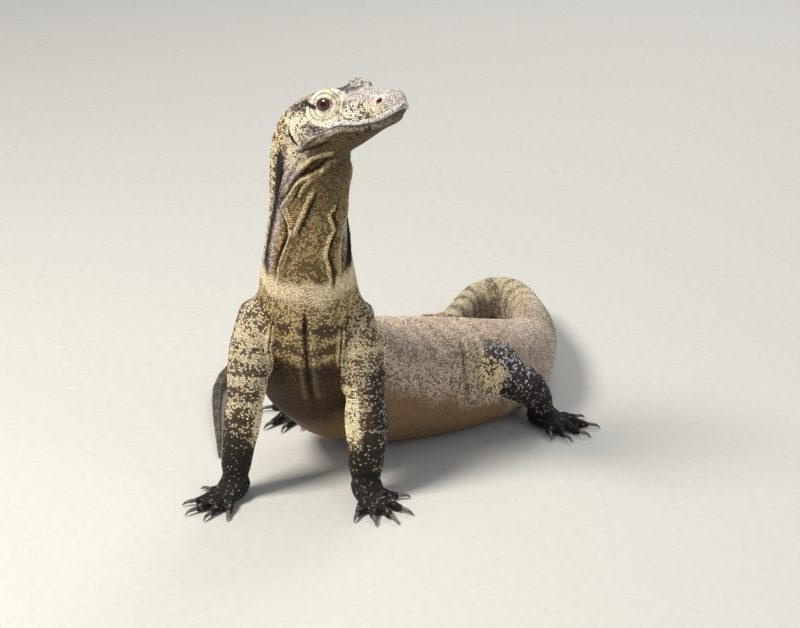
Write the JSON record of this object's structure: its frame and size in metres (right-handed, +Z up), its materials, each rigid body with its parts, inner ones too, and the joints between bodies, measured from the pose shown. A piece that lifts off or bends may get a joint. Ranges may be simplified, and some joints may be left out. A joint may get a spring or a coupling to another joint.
{
  "type": "komodo dragon",
  "caption": "Young monitor lizard resting on its belly with chest raised on straight forelegs, long neck up, head turned aside and tail curled behind.",
  "frame": {"origin": "middle of the bounding box, on the floor that the animal rests on", "axes": "+Z up; the chest faces -Y and the animal's left side is towards +X"},
  "size_m": [0.2688, 0.363, 0.2727],
  "materials": {
    "skin": "small dry beaded scales, cream and yellow broken by black bars and speckles, black forearms, feet and shins",
    "eye": "wet and glossy, red-brown iris round a dark pupil",
    "claw": "smooth grey horn, satin"
  },
  "bodies": {
    "root": {"head": "skin", "lower_jaw": "skin", "eye_l": "eye", "eye_r": "eye", "neck_upper": "skin", "neck_lower": "skin", "chest": "skin", "belly": "skin", "pelvis": "skin", "tail_1": "skin", "tail_2": "skin", "tail_3": "skin", "tail_4": "skin", "tail_5": "skin", "tail_6": "skin", "upper_arm_r": "skin", "forearm_r": "skin", "hand_r": "skin", "hand_r_claw_1": "claw", "hand_r_claw_2": "claw", "hand_r_claw_3": "claw", "hand_r_claw_4": "claw", "hand_r_claw_5": "claw", "upper_arm_l": "skin", "forearm_l": "skin", "hand_l": "skin", "hand_l_claw_1": "claw", "hand_l_claw_2": "claw", "hand_l_claw_3": "claw", "hand_l_claw_4": "claw", "hand_l_claw_5": "claw", "thigh_l": "skin", "shin_l": "skin", "foot_l": "skin", "foot_l_claw_1": "claw", "foot_l_claw_2": "claw", "foot_l_claw_3": "claw", "foot_l_claw_4": "claw", "foot_l_claw_5": "claw", "thigh_r": "skin", "shin_r": "skin", "foot_r": "skin", "foot_r_claw_1": "claw", "foot_r_claw_2": "claw", "foot_r_claw_3": "claw", "foot_r_claw_4": "claw", "foot_r_claw_5": "claw"}
  },
  "joints": []
}
